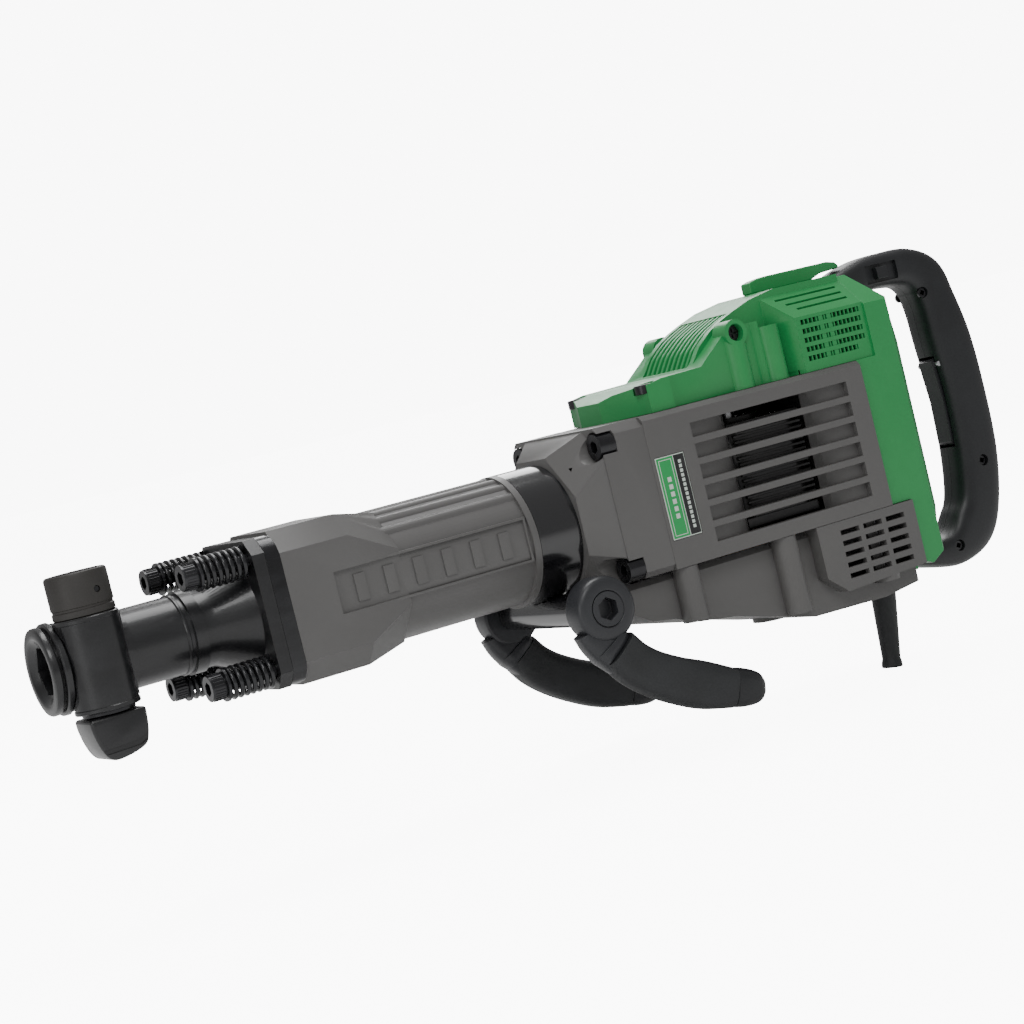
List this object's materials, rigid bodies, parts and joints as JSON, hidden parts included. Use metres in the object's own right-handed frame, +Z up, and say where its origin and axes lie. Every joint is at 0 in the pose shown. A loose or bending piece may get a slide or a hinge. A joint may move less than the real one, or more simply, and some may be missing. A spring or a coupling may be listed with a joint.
{
  "type": "electric jackhammer",
  "caption": "Electric demolition hammer with a hexagonal tool socket, sprung nose, louvred motor housing, rear D handle and swinging side handle.",
  "frame": {"origin": "centre of the tool socket's mouth, on the hammer axis", "axes": "+X along the hammer axis from the socket to the rear handle, +Z up towards the green cover, -Y the side with the tool retainer and the label"},
  "size_m": [0.781, 0.166, 0.3118],
  "materials": {
    "black_casting": "oiled black",
    "oiled_steel": "blackened and oiled",
    "bright_steel": "machined",
    "grey_aluminium": "satin grey paint",
    "grey_plastic": "fine texture",
    "green_plastic": "satin",
    "black_plastic": "fine texture",
    "cap_brown": "matte grey-brown",
    "black_rubber": "soft",
    "dark_steel": "blackened",
    "motor_iron": "varnished",
    "copper": "turned",
    "label_green": null,
    "carbon": "sintered"
  },
  "bodies": {
    "housing": {"buffer_plate": "black_rubber", "flange_bolts": "dark_steel", "flange_washers": "dark_steel", "flange_springs": "oiled_steel", "barrel_case": "grey_aluminium", "cylinder_liner": "bright_steel", "front_cushion": "black_rubber", "crankcase": "grey_aluminium", "crankcase_bolts": "dark_steel", "gear_bearings": "bright_steel", "motor_bearings": "bright_steel", "stator": "motor_iron", "brushes": "carbon", "brush_holders": "copper", "motor_housing": "grey_plastic", "left_side_cover": "grey_plastic", "right_side_cover": "grey_plastic", "label_plate": "label_green", "lower_housing": "grey_plastic", "housing_screws": "dark_steel", "top_cover": "green_plastic", "cover_screws": "dark_steel", "top_pad": "green_plastic", "rear_cover": "green_plastic", "handle_left": "black_plastic", "handle_right": "black_plastic", "switch_block": "black_plastic", "trigger_pin": "bright_steel", "cord_guard": "black_rubber"},
    "nose": {"front_ring": "black_casting", "nose_body": "oiled_steel", "tool_bushing": "dark_steel", "retainer_cap": "cap_brown", "cap_roll_pin": "dark_steel", "retainer_spring": "bright_steel"},
    "collar": {"thrust_collar": "black_casting"},
    "retainer": {"retainer_pin": "bright_steel", "stop_lever": "black_casting"},
    "anvil": {"anvil": "bright_steel"},
    "striker": {"striker": "bright_steel", "striker_seal": "black_rubber"},
    "piston": {"piston": "grey_aluminium", "piston_rings": "black_rubber", "piston_pin": "bright_steel"},
    "rod": {"connecting_rod": "grey_aluminium"},
    "crank": {"crankshaft": "bright_steel", "crank_gear": "bright_steel"},
    "idler": {"idler_gear": "bright_steel"},
    "armature": {"armature_shaft": "bright_steel", "armature_core": "motor_iron", "commutator": "copper", "fan": "black_plastic"},
    "clamp": {"clamp_ring": "black_casting", "hinge_bolt": "dark_steel"},
    "side_handle": {"handle_arms": "black_casting", "grip_sleeves": "black_rubber", "grip_caps": "black_rubber"},
    "trigger": {"trigger": "black_plastic"},
    "lock": {"lock_slider": "black_plastic"}
  },
  "joints": [
    {"name": "nose_buffer", "type": "slide", "parent": "housing", "child": "nose", "axis": [-1, 0, 0], "range_m": [0, 0.003], "stiffness_N_per_m": 40000, "springref_m": -0.002, "deforming": ["flange_springs"]},
    {"name": "retainer_turn", "type": "hinge", "parent": "nose", "child": "collar", "pos_m": [0.031, -0.02, -0.032], "axis": [0, 0, 1], "range_deg": [0, 180]},
    {"name": "retainer_pull", "type": "slide", "parent": "collar", "child": "retainer", "axis": [0, 0, -1], "range_m": [0, 0.008], "stiffness_N_per_m": 6000, "springref_m": -0.003, "deforming": ["retainer_spring"]},
    {"name": "anvil_slide", "type": "slide", "parent": "nose", "child": "anvil", "axis": [-1, 0, 0], "range_m": [0, 0.01]},
    {"name": "striker_slide", "type": "slide", "parent": "housing", "child": "striker", "axis": [1, 0, 0], "range_m": [-0.0115, 0.02]},
    {"name": "piston_slide", "type": "slide", "parent": "housing", "child": "piston", "axis": [1, 0, 0], "range_m": [-0.044, 0]},
    {"name": "rod_swing", "type": "hinge", "parent": "piston", "child": "rod", "pos_m": [0.352, 0, 0], "axis": [0, 0, 1], "range_deg": [-11.5, 11.5]},
    {"name": "armature_spin", "type": "hinge", "parent": "housing", "child": "armature", "pos_m": [0.545, 0, 0], "axis": [0, 0, 1], "continuous": true},
    {"name": "idler_spin", "type": "hinge", "parent": "housing", "child": "idler", "pos_m": [0.495, 0, 0], "axis": [0, 0, 1], "continuous": true},
    {"name": "crank_spin", "type": "hinge", "parent": "housing", "child": "crank", "pos_m": [0.44, 0, 0], "axis": [0, 0, 1], "continuous": true},
    {"name": "side_handle_turn", "type": "hinge", "parent": "housing", "child": "clamp", "pos_m": [0.36, 0, 0], "axis": [1, 0, 0], "range_deg": [-180, 180]},
    {"name": "side_handle_swing", "type": "hinge", "parent": "clamp", "child": "side_handle", "pos_m": [0.364, 0, -0.056], "axis": [0, 1, 0], "range_deg": [-12, 150]},
    {"name": "trigger_press", "type": "hinge", "parent": "housing", "child": "trigger", "pos_m": [0.74, 0, 0.043], "axis": [0, -1, 0], "range_deg": [0, 5], "stiffness_Nm_per_rad": 3, "springref_deg": -5.73},
    {"name": "lock_slide", "type": "slide", "parent": "housing", "child": "lock", "axis": [1, 0, 0], "range_m": [0, 0.006]}
  ],
  "couplings": [
    {"joint": "idler_spin", "follows": "armature_spin", "ratio": -0.31579},
    {"joint": "crank_spin", "follows": "armature_spin", "ratio": 0.10783}
  ]
}
